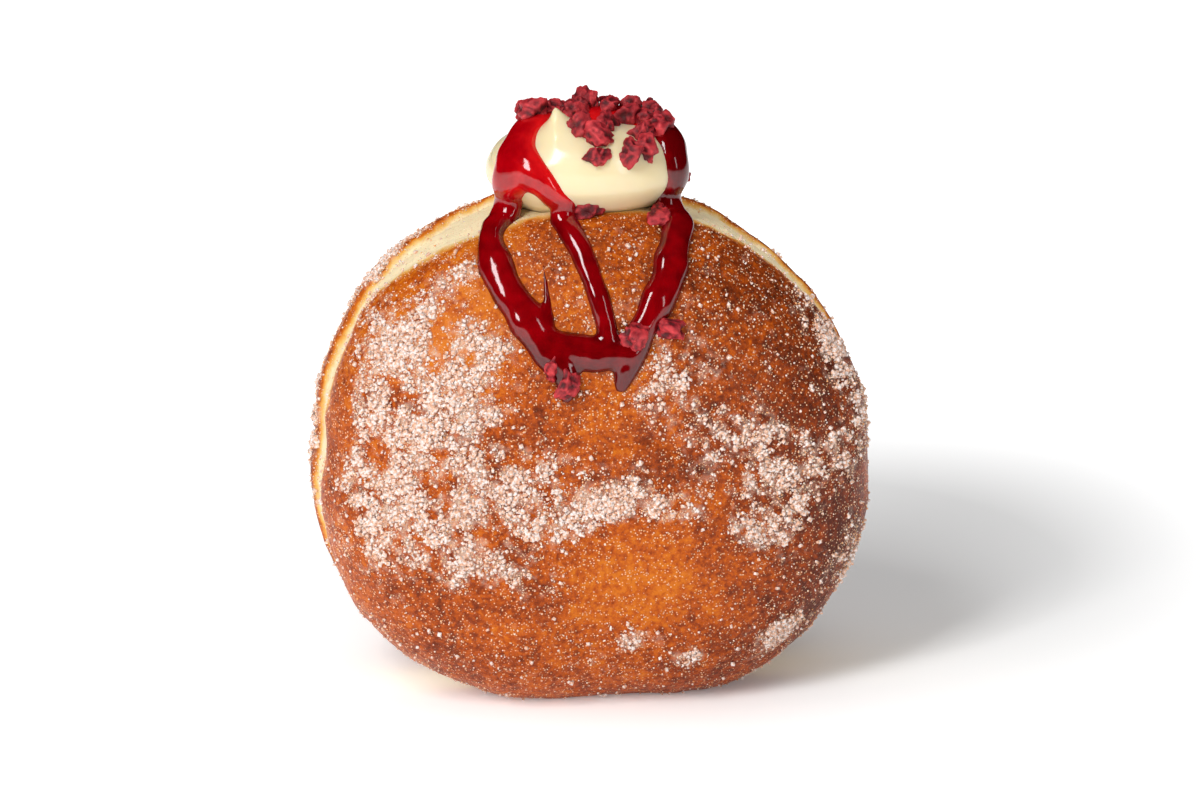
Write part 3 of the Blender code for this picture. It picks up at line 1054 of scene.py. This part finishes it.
@dataclass
class Jelly:
    """Jelly that lies on top of the custard and runs down the front in three streams that meet."""

    # (x, y, z, half width) in millimetres, near the surface that the stream lies on
    streams: tuple[Route, ...] = (
        (
            (8.0, 3.0, 92.5, 3.6),
            (1.0, 3.5, 93.0, 4.2),
            (-6.0, 2.0, 92.8, 3.8),
            (-10.4, -2.6, 91.4, 3.2),
            (-12.0, -5.4, 89.0, 3.6),
            (-12.4, -6.8, 86.0, 3.6),
            (-13.8, -5.4, 82.2, 2.6),
            (-15.6, -7.0, 78.8, 2.4),
            (-17.1, -11.0, 76.3, 2.3),
            (-16.8, -15.0, 73.3, 2.6),
            (-15.5, -18.0, 69.9, 2.85),
            (-13.4, -20.0, 66.8, 2.9),
            (-11.1, -21.5, 63.6, 3.1),
            (-8.9, -22.6, 60.6, 3.0),
            (-6.9, -23.5, 57.5, 2.5),
            (-6.7, -23.9, 54.7, 1.6),
            (-6.9, -24.2, 52.7, 0.8),
        ),
        (
            (-11.4, -7.4, 87.0, 3.4),
            (-8.7, -10.5, 84.6, 2.5),
            (-6.6, -10.8, 81.6, 2.3),
            (-5.2, -12.0, 78.6, 2.0),
            (-3.6, -15.8, 75.3, 1.9),
            (-2.2, -18.5, 71.6, 1.8),
            (-1.1, -20.4, 68.1, 1.7),
            (-0.3, -21.8, 64.4, 1.8),
            (0.0, -22.9, 60.7, 2.0),
        ),
        (
            (3.0, 3.5, 93.0, 4.2),
            (9.4, 1.2, 92.2, 3.4),
            (11.8, -2.6, 90.0, 3.5),
            (12.0, -5.6, 86.8, 3.1),
            (12.5, -6.4, 82.8, 2.7),
            (13.4, -7.4, 79.0, 2.5),
            (12.5, -12.1, 76.8, 2.7),
            (11.1, -15.9, 73.7, 2.8),
            (9.8, -18.5, 70.4, 2.7),
            (7.9, -20.3, 67.2, 2.7),
            (5.8, -21.7, 64.1, 2.4),
            (4.1, -22.7, 61.2, 2.4),
            (2.9, -23.4, 58.3, 2.1),
            (1.9, -24.0, 55.4, 1.2),
            (1.7, -24.2, 54.0, 0.7),
        ),
        (
            (-8.9, -22.4, 61.6, 2.9),
            (-4.5, -22.9, 60.5, 2.8),
            (-1.4, -23.1, 59.9, 2.8),
            (3.6, -23.0, 60.0, 2.7),
        ),
        (
            (-9.5, -15.7, 75.0, 0.22),
            (-9.4, -17.9, 71.7, 0.38),
            (-9.3, -20.0, 68.0, 0.7),
            (-9.6, -21.4, 64.8, 1.5),
        ),
    )
    thickness: float = 2.8 * MM
    sink: float = 0.35
    root: float = 0.22 * MM
    voxel: float = 0.33 * MM
    custard_from: tuple[float, float] = (78.0 * MM, 84.0 * MM)
    points_per_step: int = 6

    def build(self, skin: Skin) -> bpy.types.Object:
        """Makes the jelly's piece.

        Args:
            skin: The surface that the jelly lies on.

        Returns:
            The finished piece.
        """
        together = bmesh.new()
        for number, stream in enumerate(self.streams):
            mesh = self.tube(stream, number, skin)
            together.from_mesh(mesh)
            bpy.data.meshes.remove(mesh)
        mesh = bpy.data.meshes.new("jelly_runs")
        together.to_mesh(mesh)
        together.free()
        piece = bpy.data.objects.new("jelly_runs", mesh)
        bpy.context.scene.collection.objects.link(piece)
        remesh = piece.modifiers.new("run together", "REMESH")
        remesh.mode = "VOXEL"
        remesh.voxel_size = self.voxel
        soften = piece.modifiers.new("soften", "SMOOTH")
        soften.factor = 0.5
        soften.iterations = 16
        bake_modifiers(piece)
        self.settle(piece.data, skin)
        piece.data.materials.append(JellyFinish().material())
        return piece

    def tube(self, stream: Route, number: int, skin: Skin) -> bpy.types.Mesh:
        """One stream as a tube half sunk into the skin.

        Args:
            stream: The route and half widths.
            number: Sets the stream's own uneven width.
            skin: The surface it lies on.

        Returns:
            The tube's mesh.
        """
        path = smooth_path(np.array(stream) * MM, self.points_per_step)
        curve = bpy.data.curves.new("stream", "CURVE")
        curve.dimensions = "3D"
        curve.bevel_depth = 1.0
        curve.bevel_resolution = 5
        curve.use_fill_caps = True
        spline = curve.splines.new("POLY")
        spline.points.add(len(path) - 1)
        for spot, (x, y, z, half_width) in zip(spline.points, path):
            along = Vector((x, y, z)) / (4.2 * MM) + Vector((number * 7.0, 0.0, 0.0))
            uneven = 1.0 + 0.20 * noise.noise(along)
            radius = half_width * uneven
            on_skin, outwards, _ = skin.height(Vector((x, y, z)))
            spot.co = (*(on_skin - outwards * self.sink * radius), 1.0)
            spot.radius = radius * math.sqrt(1.0 + self.sink**2)
        source = bpy.data.objects.new("stream", curve)
        bpy.context.scene.collection.objects.link(source)
        bpy.context.view_layer.update()
        graph = bpy.context.evaluated_depsgraph_get()
        mesh = bpy.data.meshes.new_from_object(source.evaluated_get(graph))
        bpy.data.objects.remove(source)
        return mesh

    def settle(self, mesh: bpy.types.Mesh, skin: Skin) -> None:
        """Lets the jelly spread: limits its height over the skin, and stores a colour share that mixes how
        deep it is with painted light and shade.

        Args:
            mesh: The jelly's mesh.
            skin: The surface that it lies on.
        """
        depth = []
        for vert in mesh.vertices:
            on_skin, outwards, height = skin.height(vert.co)
            if height > 0.0:
                away = (vert.co - on_skin).normalized()
                height = self.thickness * math.tanh(height / self.thickness)
                vert.co = on_skin + away * height
            else:
                vert.co = on_skin - outwards * min(-height, self.root)
            depth.append(height / self.thickness)
        points = mesh_points(mesh)
        on_custard = smooth_share(points[:, 2], *self.custard_from)
        # Painted shade: darker on the right, away from the key light.
        right = smooth_share(points[:, 0], 4.0 * MM, 12.0 * MM)
        custard_depth_and_painted_shade = np.array(depth) * 0.75 - 0.08 + 0.75 * right
        low = smooth_share(-points[:, 2], -66.0 * MM, -59.0 * MM)
        # Over the dough: lighter in the thick middle and darker at the thin edges as painted light through
        # the jelly, darker on the right as painted shade, and darker towards the bottom.
        dough_depth_and_painted_light = 0.92 - 0.42 * np.array(depth) + 0.10 * right + 0.16 * low
        deep = dough_depth_and_painted_light + (custard_depth_and_painted_shade - dough_depth_and_painted_light) * on_custard
        set_attribute(mesh, "depth", np.clip(deep, 0.0, 1.0))
        mesh.update()


# ---------------------------------------------------------------- berry crumbs


@dataclass(frozen=True)
class Crumb:
    """One crumb: where it lies and its size in millimetres, its turn in degrees and how dark it is."""

    x: float
    y: float
    z: float
    length: float
    width: float
    turn: float
    shade: float


CRUMBS = (
    Crumb(-8.7, -1.2, 93.9, 3.61, 2.86, 35.0, 0.15),
    Crumb(-6.2, 1.0, 94.1, 2.92, 2.35, 70.0, 0.2),
    Crumb(-3.8, 0.2, 94.3, 2.58, 2.18, 10.0, 0.75),
    Crumb(-1.4, 1.2, 94.4, 2.58, 2.02, 110.0, 0.75),
    Crumb(-2.6, -0.5, 93.8, 3.61, 2.1, -12.0, 0.2),
    Crumb(1.1, 2.6, 94.1, 2.92, 1.26, 85.0, 0.2),
    Crumb(3.4, 2.1, 93.9, 3.1, 2.35, 65.0, 0.3),
    Crumb(-2.5, -8.0, 93.4, 3.44, 3.02, 40.0, 0.45),
    Crumb(1.9, -6.2, 93.4, 3.78, 2.77, 75.0, 0.15),
    Crumb(5.8, -1.6, 93.8, 3.61, 2.94, 40.0, 0.25),
    Crumb(0.0, -10.3, 91.8, 4.04, 3.02, -20.0, 0.1),
    Crumb(-0.3, -12.4, 89.2, 3.61, 2.1, 18.0, 0.2),
    Crumb(4.9, -11.6, 89.2, 3.78, 2.6, 70.0, 0.3),
    Crumb(9.8, 1.0, 94.2, 3.1, 2.02, 60.0, 0.3),
    Crumb(8.7, -2.2, 93.2, 2.92, 2.18, 15.0, 0.35),
    Crumb(11.1, -4.0, 92.4, 4.3, 2.77, -22.0, 0.05),
    Crumb(7.5, -7.1, 92.2, 3.61, 2.77, 45.0, 0.3),
    Crumb(7.7, -10.0, 89.8, 3.7, 2.77, 100.0, 0.2),
    Crumb(15.6, -2.0, 82.6, 1.63, 1.43, 0.0, 0.75),
    Crumb(-1.7, -10.4, 79.9, 3.96, 2.52, 10.0, 0.35),
    Crumb(9.8, -10.3, 79.2, 3.78, 2.44, 5.0, 0.25),
    Crumb(9.4, -22.1, 63.5, 4.82, 2.86, -18.0, 0.05),
    Crumb(3.6, -23.8, 62.9, 3.61, 2.69, 60.0, 0.15),
    Crumb(-9.4, -24.3, 57.7, 2.84, 1.26, 85.0, 0.1),
    Crumb(-6.7, -25.2, 55.6, 3.61, 2.44, 68.0, 0.2),
    Crumb(3.2, -3.4, 93.8, 2.92, 2.18, 20.0, 0.4),
    Crumb(10.6, -0.6, 93.2, 2.75, 2.35, 130.0, 0.3),
    Crumb(-10.2, 2.2, 93.6, 2.75, 2.18, 140.0, 0.3),
    Crumb(7.6, 3.6, 93.8, 2.92, 2.18, 150.0, 0.3),
    Crumb(-1.0, 6.2, 94.2, 3.1, 2.35, 95.0, 0.35),
    Crumb(4.2, 7.4, 93.0, 2.92, 2.02, 30.0, 0.3),
    Crumb(-6.0, 6.0, 93.6, 2.75, 2.18, 60.0, 0.3),
    Crumb(10.2, 6.4, 90.4, 2.58, 1.85, 30.0, 0.3),
)


@dataclass
class BerryCrumbs:
    """Pieces of dried berry, scattered on top of the dollop and caught along the jelly."""

    crumbs: tuple[Crumb, ...] = CRUMBS
    subdivisions: int = 4
    sit: float = 0.12
    planes: int = 9

    def build(self, skin: Skin) -> bpy.types.Object:
        """Makes all crumbs as one piece.

        Args:
            skin: The surface that they lie on.

        Returns:
            The finished piece.
        """
        together = bmesh.new()
        relief = []
        shade = []
        for number, crumb in enumerate(self.crumbs):
            mesh, bumps = self.shape(crumb, number)
            mesh.transform(self.resting_place(crumb, number, skin))
            together.from_mesh(mesh)
            bpy.data.meshes.remove(mesh)
            relief.append(bumps)
            shade.append(np.full(len(bumps), crumb.shade))
        piece = object_from("berry_crumbs", together)
        set_attribute(piece.data, "relief", np.concatenate(relief))
        set_attribute(piece.data, "shade", np.concatenate(shade))
        piece.data.materials.append(CrumbFinish().material())
        return piece

    def shape(self, crumb: Crumb, number: int) -> tuple[bpy.types.Mesh, np.ndarray]:
        """One crumb round the origin: a torn, curled flake with sharp sides and crinkled ridges.

        Args:
            crumb: Its sizes.
            number: Makes it unlike the others.

        Returns:
            The mesh, and how high each vertex stands in its bumps, 0 to 1.
        """
        ball = bmesh.new()
        bmesh.ops.create_icosphere(ball, subdivisions=self.subdivisions, radius=1.0)
        mesh = bpy.data.meshes.new("crumb")
        ball.to_mesh(mesh)
        ball.free()
        directions = mesh_points(mesh)
        seed = 3.7 * number + 1.0
        rng = np.random.default_rng(number)
        facets = rng.normal(size=(self.planes, 3))
        facets /= np.linalg.norm(facets, axis=1, keepdims=True)
        reach = (0.62 + 0.42 * rng.random(self.planes)) / np.maximum(directions @ facets.T, 0.05)
        radius = np.minimum(reach.min(axis=1), 1.35) * 1.12
        radius *= 1.0 + 0.40 * ripple(directions, 0.8, seed, 2)
        thick = 0.75 + 0.25 * rng.random()
        form = directions * radius[:, None]
        form *= np.array([0.5 * crumb.length, 0.5 * crumb.width, 0.5 * crumb.width * thick]) * MM
        form[:, 2] -= 0.22 * crumb.width * MM * (form[:, 0] / (0.5 * crumb.length * MM)) ** 2
        ridges = 1.0 - np.abs(2.4 * ripple(form, 1.25 * MM, seed))
        crinkle = ripple(form, 0.42 * MM, seed, 2)
        form += directions * ((0.36 * ridges + 0.13 * crinkle) * MM)[:, None]
        set_mesh_points(mesh, form)
        # The relief share drives the colour: darker pits as painted shade, pinker ridges partly as painted
        # highlight, on top of the berry's own colour.
        return mesh, np.clip(0.75 * ridges - 0.22 + 0.45 * crinkle + 0.40 * (radius - 0.7), 0.0, 1.0)

    def resting_place(self, crumb: Crumb, number: int, skin: Skin) -> Matrix:
        """The transform that puts a crumb next to its given place, resting on the skin and leaning back.

        Args:
            crumb: The crumb.
            number: Sets its own lean.
            skin: The surface that it lies on.

        Returns:
            The transform.
        """
        middle = Vector((crumb.x, crumb.y, crumb.z)) * MM
        _, outwards, height = skin.nearest(middle)
        rest = middle + outwards * (self.sit * crumb.width * MM - height)
        flat = outwards.to_track_quat("Z", "Y")
        upright = Matrix.Rotation(math.radians(90.0), 3, "X").to_quaternion()
        lean = upright.slerp(flat, 0.35 + 0.25 * math.sin(number * 2.3))
        turn = Matrix.Rotation(math.radians(crumb.turn), 4, "Z")
        return Matrix.Translation(rest) @ lean.to_matrix().to_4x4() @ turn


# ---------------------------------------------------------------- sugar


class Grain(Enum):
    """The kinds of sugar on the crust: (name, number, smallest and largest edge in millimetres, seed)."""

    FINE = ("sugar_fine", 16200, 0.12, 0.26, 11)
    GRAIN = ("sugar_grains", 9500, 0.15, 0.54, 23)
    CLUMP = ("sugar_clumps", 10500, 0.16, 0.62, 37)


@dataclass
class SugarCoat:
    """Loose sugar crystals on the crust, thick where it clings, thin elsewhere."""

    dough: Dough
    middle: tuple[float, float, float] = (0.0, 0.0, 39.6 * MM)
    far: float = 120.0 * MM
    bare_foot: float = 0.3 * MM
    pocket_radius: float = 20.0 * MM
    thin_share: float = 0.62
    clump_spread: float = 0.55 * MM
    clump_size: int = 9
    small_bias: float = 2.4
    sit: float = 0.28

    def chance(self, kind: Grain, frost: np.ndarray) -> np.ndarray:
        """How likely a grain clings.

        Args:
            kind: The kind of grain.
            frost: How much sugar clings at each place, 0 to 1.

        Returns:
            The chances, 0 to 1.
        """
        if kind is Grain.CLUMP:
            return smooth_share(frost, 0.30, 0.95)
        if kind is Grain.GRAIN:
            return 0.04 * (frost > 0.01) + 0.96 * smooth_share(frost, 0.08, 0.80)
        return 0.03 + 0.97 * smooth_share(frost, 0.0, 0.60)

    def spots(
        self, kind: Grain, ground: BVHTree, cover: list[BVHTree], rng: np.random.Generator
    ) -> tuple[list[Vector], list[Vector]]:
        """Picks where grains of one kind lie.

        Args:
            kind: The kind of grain.
            ground: The crust's search tree.
            cover: Search trees of what lies on the crust and keeps sugar off it.
            rng: The seeded source of chance.

        Returns:
            Places and outward directions, one for each grain or each clump.
        """
        _, number, _, _, _ = kind.value
        wanted = number // self.clump_size if kind is Grain.CLUMP else number
        places, normals = [], []
        centre = Vector(self.middle)
        while len(places) < wanted:
            batch = rng.normal(size=(wanted * 2, 3)) * np.array([1.0, self.thin_share, 1.0])
            batch /= np.linalg.norm(batch, axis=1, keepdims=True)
            found, outs = [], []
            for direction in batch:
                way = Vector(direction)
                start = centre + way * self.far
                spot, normal, _, distance = ground.ray_cast(start, -way)
                if spot is None or spot.z < self.bare_foot or (spot - centre).length < self.pocket_radius:
                    continue
                if any((tree.ray_cast(start, -way)[3] or self.far) < distance for tree in cover):
                    continue
                found.append(spot)
                outs.append(normal)
            chances = self.chance(kind, self.dough.frost(np.array(found)))
            luck = rng.random(len(found))
            for spot, normal, likely, drawn in zip(found, outs, chances, luck):
                if drawn < likely and len(places) < wanted:
                    places.append(spot)
                    normals.append(normal)
        return places, normals

    def build(
        self, kind: Grain, ground: BVHTree, cover: list[BVHTree], finish: SugarFinish
    ) -> bpy.types.Object:
        """Makes every grain of one kind as one piece.

        Args:
            kind: The kind of grain.
            ground: The crust's search tree.
            cover: Search trees of what keeps sugar off the crust.
            finish: The crystals' finish.

        Returns:
            The finished piece.
        """
        name, _, smallest, largest, seed = kind.value
        rng = np.random.default_rng(seed)
        places, normals = self.spots(kind, ground, cover, rng)
        if kind is Grain.CLUMP:
            places, normals = self.clumps(places, ground, rng)
        places = np.array(places)
        normals = np.array(normals)
        count = len(places)
        edges = smallest + (largest - smallest) * rng.random((count, 1)) ** self.small_bias
        sizes = edges * (0.7 + 0.6 * rng.random((count, 3))) * MM
        turns = self.random_turns(count, rng)
        corners, faces = self.crystal()
        uneven = corners[None, :, :] * (1.0 + 0.35 * (rng.random((count, len(corners), 3)) - 0.5))
        solid = np.einsum("nij,nkj->nki", turns, uneven * sizes[:, None, :])
        raised = places + normals * (self.sit * sizes.mean(axis=1))[:, None]
        points = (solid + raised[:, None, :]).reshape(-1, 3)
        loops = (faces[None, :, :] + (np.arange(count) * len(corners))[:, None, None]).reshape(-1, 4)
        joined = self.joined(name, points, loops)
        joined.materials.append(finish.material())
        piece = bpy.data.objects.new(name, joined)
        bpy.context.scene.collection.objects.link(piece)
        return piece

    @staticmethod
    def crystal() -> tuple[np.ndarray, np.ndarray]:
        """The plain crystal, a cube of edge 1.

        Returns:
            Its corners, one row each, and the corners of each of its faces.
        """
        cube = bmesh.new()
        bmesh.ops.create_cube(cube, size=1.0)
        mesh = bpy.data.meshes.new("crystal")
        cube.to_mesh(mesh)
        cube.free()
        corners = mesh_points(mesh)
        faces = np.array([list(face.vertices) for face in mesh.polygons])
        bpy.data.meshes.remove(mesh)
        return corners, faces

    @staticmethod
    def joined(name: str, points: np.ndarray, loops: np.ndarray) -> bpy.types.Mesh:
        """All copies of the crystal as one mesh.

        Args:
            name: The mesh's name.
            points: Every corner's place.
            loops: The four corners of every face.

        Returns:
            The mesh.
        """
        joined = bpy.data.meshes.new(name)
        joined.vertices.add(len(points))
        joined.vertices.foreach_set("co", points.astype(np.float32).ravel())
        joined.loops.add(loops.size)
        joined.loops.foreach_set("vertex_index", loops.astype(np.int32).ravel())
        joined.polygons.add(len(loops))
        joined.polygons.foreach_set("loop_start", np.arange(0, loops.size, 4, dtype=np.int32))
        joined.update(calc_edges=True)
        joined.validate()
        return joined

    def clumps(
        self, places: list[Vector], ground: BVHTree, rng: np.random.Generator
    ) -> tuple[list[Vector], list[Vector]]:
        """Heaps several grains round each place.

        Args:
            places: Middles of the clumps.
            ground: The crust's search tree.
            rng: The seeded source of chance.

        Returns:
            Places and outward directions of the single grains.
        """
        spots, outs = [], []
        for middle in places:
            spread = self.clump_spread * (0.5 + rng.random() ** 2 * 1.3)
            for offset in rng.normal(size=(self.clump_size, 3)) * spread:
                spot, normal, _, _ = ground.find_nearest(middle + Vector(offset))
                high = abs(rng.normal()) * 0.22 * MM * math.exp(-((spot - middle).length / spread) ** 2)
                spots.append(spot + normal * high)
                outs.append(normal)
        return spots, outs

    @staticmethod
    def random_turns(count: int, rng: np.random.Generator) -> np.ndarray:
        """Evenly random rotations, one 3 by 3 matrix each.

        Args:
            count: How many.
            rng: The seeded source of chance.

        Returns:
            The matrices.
        """
        q = rng.normal(size=(count, 4))
        w, x, y, z = (q / np.linalg.norm(q, axis=1, keepdims=True)).T
        return np.stack(
            [
                np.stack([1 - 2 * (y * y + z * z), 2 * (x * y - w * z), 2 * (x * z + w * y)], axis=1),
                np.stack([2 * (x * y + w * z), 1 - 2 * (x * x + z * z), 2 * (y * z - w * x)], axis=1),
                np.stack([2 * (x * z - w * y), 2 * (y * z + w * x), 1 - 2 * (x * x + y * y)], axis=1),
            ],
            axis=1,
        )


# ---------------------------------------------------------------- studio


@dataclass(frozen=True)
class Lamp:
    """A soft rectangular light: its place and size in metres, its power in watts."""

    name: str
    place: tuple[float, float, float]
    power: float
    wide: float
    high: float
    mirrored: bool = True


@dataclass
class Studio:
    """Pale floor, soft light from the upper left and a camera in front, slightly above."""

    azimuth: float = -8.0
    elevation: float = 16.0
    distance: float = 0.647
    lens: float = 120.0
    target: tuple[float, float, float] = (1.8 * MM, 0.0, 46.0 * MM)
    floor_half: float = 3.0
    floor_glow: float = 0.60
    shadow_middle: tuple[float, float, float] = (0.04, 0.05, 0.0)
    glow_from: float = 0.052
    glow_full: float = 0.125
    sky: float = 0.22
    lamps: tuple[Lamp, ...] = (
        Lamp("key", (-0.62, -0.62, 0.80), 9.8, 0.28, 0.75),
        Lamp("top", (0.30, 0.25, 1.10), 5.0, 1.50, 1.50, mirrored=False),
        Lamp("fill", (0.75, -1.05, 0.50), 2.0, 0.18, 0.70),
    )

    def build(self) -> None:
        """Sets the floor, the lights, the sky and the camera."""
        self.floor()
        for lamp in self.lamps:
            self.light(lamp)
        self.world()
        self.camera()
        bpy.context.scene.view_settings.view_transform = "Standard"

    def floor(self) -> None:
        """A pale floor that isn't part of the object, with painted light: it glows, less near the
        doughnut's cast shadow.
        """
        shape = bmesh.new()
        bmesh.ops.create_grid(shape, x_segments=1, y_segments=1, size=self.floor_half)
        mesh = bpy.data.meshes.new("floor")
        shape.to_mesh(mesh)
        shape.free()
        floor = bpy.data.objects.new("floor", mesh)
        bpy.context.scene.collection.objects.link(floor)
        sheet = NodeSheet("floor")
        sheet.put("Base Color", (0.97, 0.97, 0.97))
        sheet.put("Roughness", 0.7)
        sheet.put("Specular IOR Level", 0.1)
        # Painted light: the floor glows by its own emission, fading out near the doughnut's cast shadow, so
        # the open floor stays white while the shadow stays dark.
        sheet.put("Emission Color", (1.0, 1.0, 1.0))
        away = sheet.tree.nodes.new("ShaderNodeVectorMath")
        away.operation = "DISTANCE"
        away.inputs[1].default_value = self.shadow_middle
        sheet.tree.links.new(sheet.place, away.inputs[0])
        glow = sheet.stretch(away.outputs["Value"], self.glow_from, self.glow_full, 0.0, self.floor_glow)
        sheet.put("Emission Strength", glow)
        mesh.materials.append(sheet.material)

    def light(self, lamp: Lamp) -> None:
        """Hangs a soft light that looks at the doughnut.

        Args:
            lamp: The light to make.
        """
        area = bpy.data.lights.new(lamp.name, "AREA")
        area.energy = lamp.power
        area.shape = "RECTANGLE"
        area.size = lamp.wide
        area.size_y = lamp.high
        made = bpy.data.objects.new(lamp.name, area)
        made.location = lamp.place
        made.visible_glossy = lamp.mirrored
        aim = Vector(self.target) - Vector(lamp.place)
        made.rotation_mode = "QUATERNION"
        made.rotation_quaternion = aim.to_track_quat("-Z", "Y")
        bpy.context.scene.collection.objects.link(made)

    def world(self) -> None:
        """Even white light from all round."""
        world = bpy.data.worlds.new("sky")
        world.use_nodes = True
        background = world.node_tree.nodes["Background"]
        background.inputs["Color"].default_value = (1.0, 1.0, 1.0, 1.0)
        background.inputs["Strength"].default_value = self.sky
        world.cycles_visibility.glossy = False
        bpy.context.scene.world = world

    def camera(self) -> None:
        """The camera, without depth of field."""
        lens = bpy.data.cameras.new("camera")
        lens.lens = self.lens
        lens.sensor_width = 36.0
        lens.clip_start = 0.01
        camera = bpy.data.objects.new("camera", lens)
        turn = math.radians(self.azimuth)
        rise = math.radians(self.elevation)
        back = Vector((math.sin(turn) * math.cos(rise), -math.cos(turn) * math.cos(rise), math.sin(rise)))
        camera.location = Vector(self.target) + back * self.distance
        camera.rotation_mode = "QUATERNION"
        camera.rotation_quaternion = (-back).to_track_quat("-Z", "Y")
        bpy.context.scene.collection.objects.link(camera)
        bpy.context.scene.camera = camera


# ---------------------------------------------------------------- assembly


def place_piece(piece: bpy.types.Object, slot: str, *nodes: str) -> None:
    """Makes a piece part of the doughnut.

    Args:
        piece: The finished piece.
        slot: Not used.
        nodes: CAD nodes that it stands for.
    """
    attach(piece, "root")
    if nodes:
        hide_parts(*nodes)
    triangles = sum(len(face.vertices) - 2 for face in piece.data.polygons)
    LOG.info("%s: %d triangles", piece.name, triangles)


def main() -> None:
    """Builds the doughnut and its studio, in order."""
    logging.basicConfig(level=logging.INFO, format="%(message)s")
    Studio().build()

    maker = Custard()
    room = maker.build("custard_room", maker.room)
    custard = maker.build("custard_filling", 0.0)
    custard.data.materials.append(CustardFinish().material())
    dough_maker = Dough()
    dough = dough_maker.build(room)
    bpy.data.objects.remove(room)
    place_piece(dough, "crust", "dough")
    place_piece(custard, "custard", "custard")

    skin = Skin(dough, custard)
    jelly = Jelly().build(skin)
    place_piece(jelly, "jelly", "jelly")

    crumbs = BerryCrumbs().build(Skin(dough, custard, jelly))
    place_piece(crumbs, "berry_crumb")

    ground = tree_of(dough)
    cover = [tree_of(custard), tree_of(jelly)]
    coat = SugarCoat(dough_maker)
    for kind in Grain:
        finish = FINE_SUGAR if kind is Grain.FINE else SugarFinish()
        place_piece(coat.build(kind, ground, cover, finish), "sugar")


if __name__ == "__main__":
    main()
